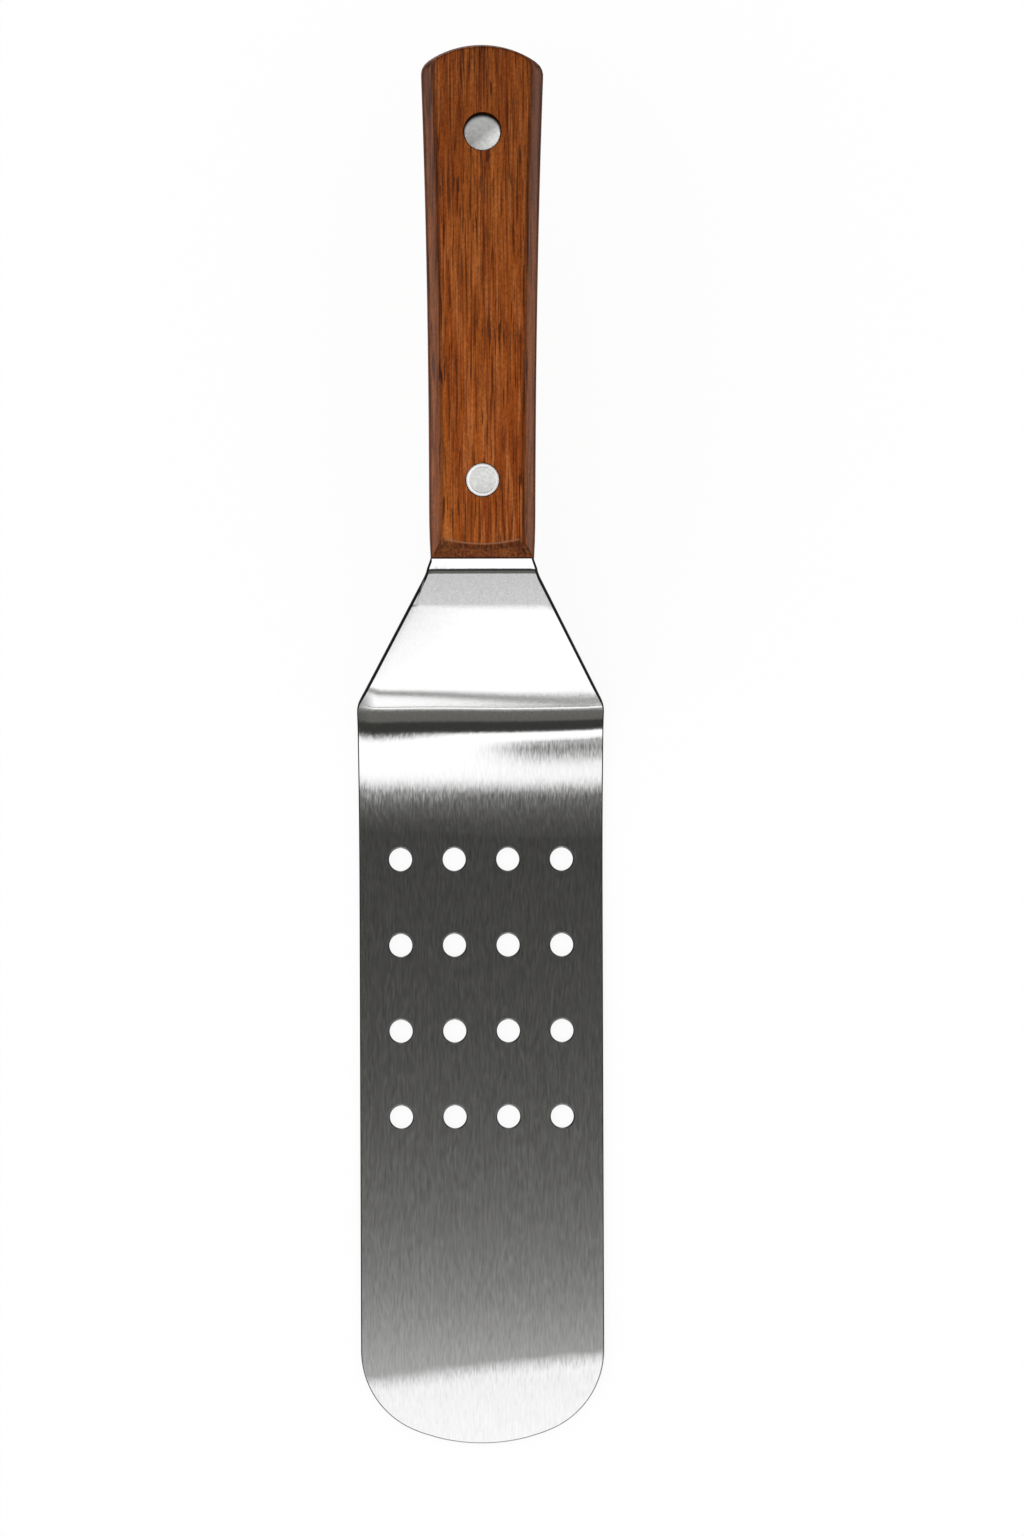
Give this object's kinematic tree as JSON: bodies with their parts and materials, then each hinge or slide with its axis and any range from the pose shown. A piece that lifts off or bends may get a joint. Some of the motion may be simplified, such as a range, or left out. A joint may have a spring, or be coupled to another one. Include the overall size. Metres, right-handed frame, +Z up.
{
  "type": "offset turner",
  "caption": "Long kitchen turner: a round-tipped, perforated brushed steel blade folded up to a riveted brown wooden handle.",
  "frame": {"origin": "on the surface that the blade lies on, under the middle of the overall length", "axes": "+X across the blade, +Y from the blade's tip towards the handle's butt, +Z up off the surface"},
  "size_m": [0.0636, 0.3574, 0.064],
  "materials": {
    "brushed_steel": "brushed lengthwise",
    "stained_wood": "stained open-pored hardwood, satin",
    "rivet_aluminium": "ground flat, dull"
  },
  "bodies": {
    "root": {"blade": "brushed_steel", "front_scale": "stained_wood", "rear_scale": "stained_wood", "lower_rivet_sleeve": "rivet_aluminium", "lower_rivet_pin": "rivet_aluminium", "upper_rivet_sleeve": "rivet_aluminium", "upper_rivet_pin": "rivet_aluminium"}
  },
  "joints": []
}
